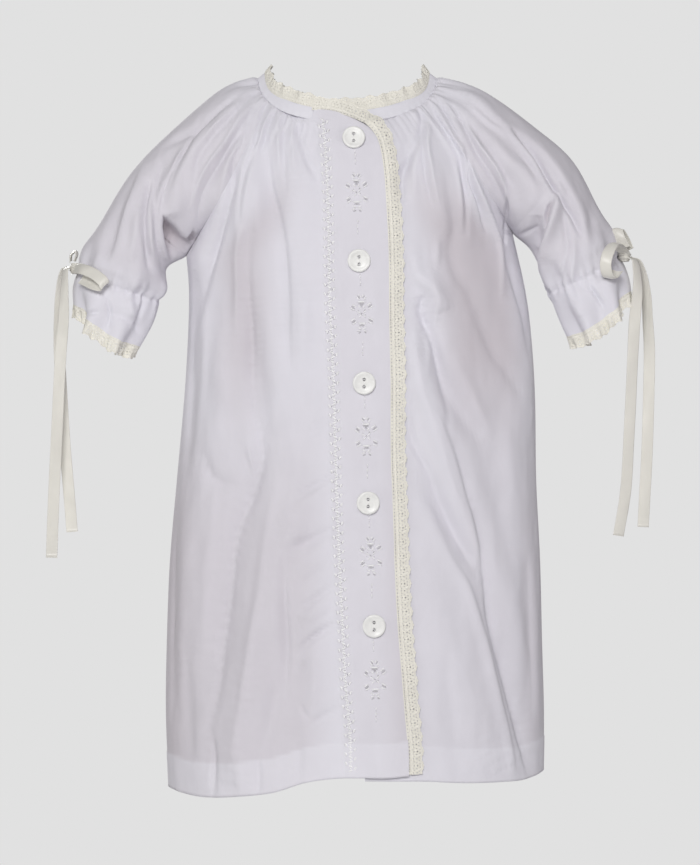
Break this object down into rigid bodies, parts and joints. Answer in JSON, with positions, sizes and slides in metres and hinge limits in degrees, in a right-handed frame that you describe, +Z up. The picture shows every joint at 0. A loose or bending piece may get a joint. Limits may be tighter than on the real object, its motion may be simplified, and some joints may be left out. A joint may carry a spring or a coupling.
{
  "type": "baby daygown",
  "caption": "Baby daygown with raglan sleeves, lapped button front, lace at the neck, placket and cuffs, and a ribbon bow on each sleeve, filled out as worn.",
  "frame": {"origin": "centre of the neck opening at the height where the shoulders hold the gown", "axes": "+Z up through the neck, -Y to the gown's front, +X to the wearer's left"},
  "size_m": [0.3753, 0.1287, 0.4512],
  "materials": {
    "batiste": "matte",
    "cotton_lace": "matte",
    "satin_ribbon": "satin",
    "pearl": "gloss"
  },
  "bodies": {
    "root": {"front_right": "batiste", "front_left": "batiste", "back": "batiste", "sleeve_right": "batiste", "sleeve_left": "batiste", "neck_band": "batiste", "neck_lace": "cotton_lace", "placket_lace": "cotton_lace", "cuff_lace_right": "cotton_lace", "cuff_lace_left": "cotton_lace", "bow_knot_right": "satin_ribbon", "bow_knot_left": "satin_ribbon", "bow_loop_right_front": "satin_ribbon", "bow_loop_right_back": "satin_ribbon", "bow_loop_left_front": "satin_ribbon", "bow_loop_left_back": "satin_ribbon", "bow_tail_right_front": "satin_ribbon", "bow_tail_right_back": "satin_ribbon", "bow_tail_left_front": "satin_ribbon", "bow_tail_left_back": "satin_ribbon", "button_1": "pearl", "button_2": "pearl", "button_3": "pearl", "button_4": "pearl", "button_5": "pearl"}
  },
  "joints": []
}
